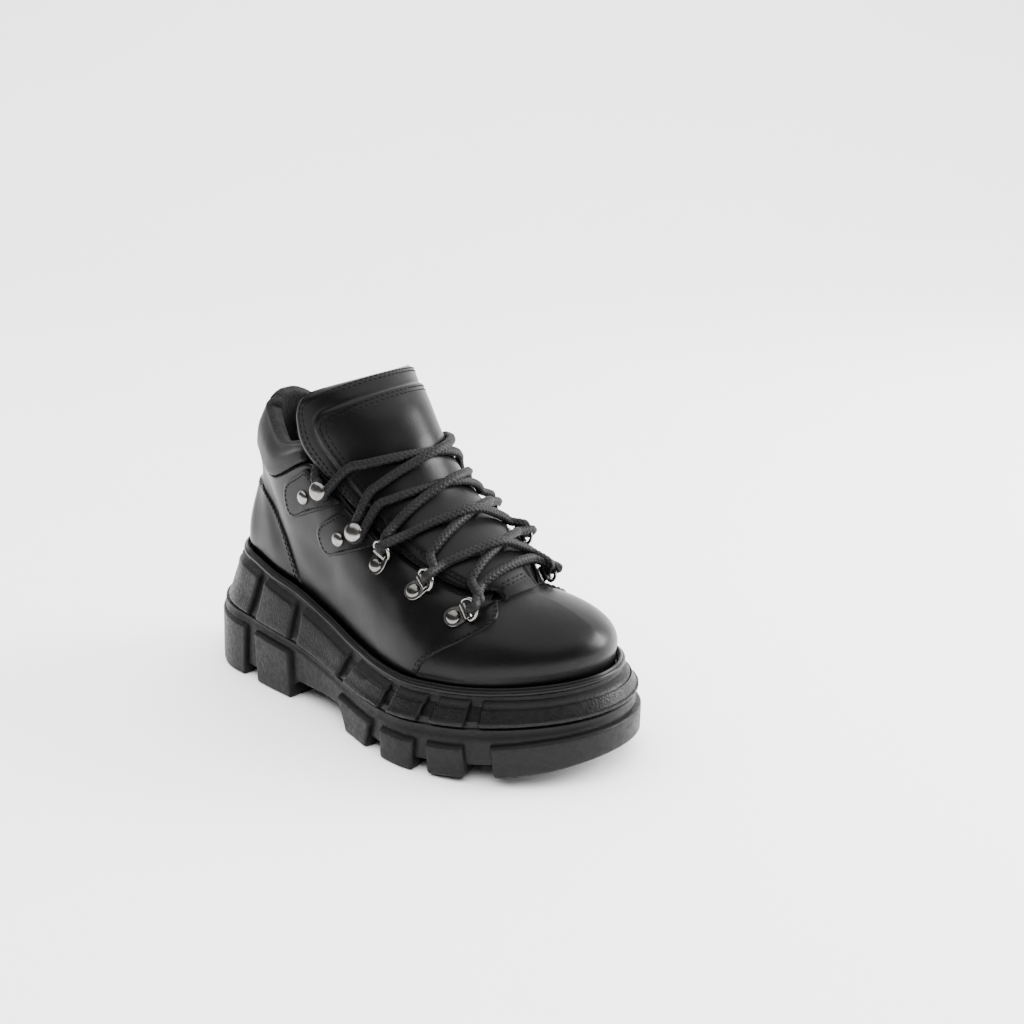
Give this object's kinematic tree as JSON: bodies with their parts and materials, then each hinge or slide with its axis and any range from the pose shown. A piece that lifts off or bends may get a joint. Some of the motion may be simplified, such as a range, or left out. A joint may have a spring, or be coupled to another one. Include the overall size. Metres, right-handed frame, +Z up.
{
  "type": "sneaker",
  "caption": "Black leather lace-up platform sneaker for the right foot, with padded collar and tongue, metal hooks and D-ring eyelets, and a thick lugged sole.",
  "frame": {"origin": "on the ground, at the middle of the whole shoe's box", "axes": "+X to the toe, +Y to the inner (medial) side of the foot, +Z up"},
  "size_m": [0.2888, 0.1227, 0.1898],
  "materials": {
    "black_leather": "smooth black leather, semi-matte with a soft broad sheen",
    "sole_rubber": "black rubber with a fine pebbled matte face",
    "welt_rubber": "smooth satin black bead",
    "lining": "black brushed textile",
    "metal": "polished dark nickel",
    "lace_cord": "round black braided cord"
  },
  "bodies": {
    "root": {"collar": "black_leather", "hook_lower_inner": "metal", "hook_lower_outer": "metal", "hook_upper_inner": "metal", "hook_upper_outer": "metal", "insole": "lining", "lace_bar": "lace_cord", "lace_cross_1": "lace_cord", "lace_cross_2": "lace_cord", "lace_cross_3": "lace_cord", "lace_cross_4": "lace_cord", "midsole": "sole_rubber", "outsole": "sole_rubber", "plate_1_inner": "metal", "plate_1_outer": "metal", "plate_2_inner": "metal", "plate_2_outer": "metal", "plate_3_inner": "metal", "plate_3_outer": "metal", "ring_1_inner": "metal", "ring_1_outer": "metal", "ring_2_inner": "metal", "ring_2_outer": "metal", "ring_3_inner": "metal", "ring_3_outer": "metal", "rivet_lower_inner": "metal", "rivet_lower_outer": "metal", "rivet_upper_inner": "metal", "rivet_upper_outer": "metal", "tab_lower_inner": "black_leather", "tab_lower_outer": "black_leather", "tab_upper_inner": "black_leather", "tab_upper_outer": "black_leather", "tongue": "black_leather", "upper": "black_leather", "welt": "welt_rubber"}
  },
  "joints": []
}
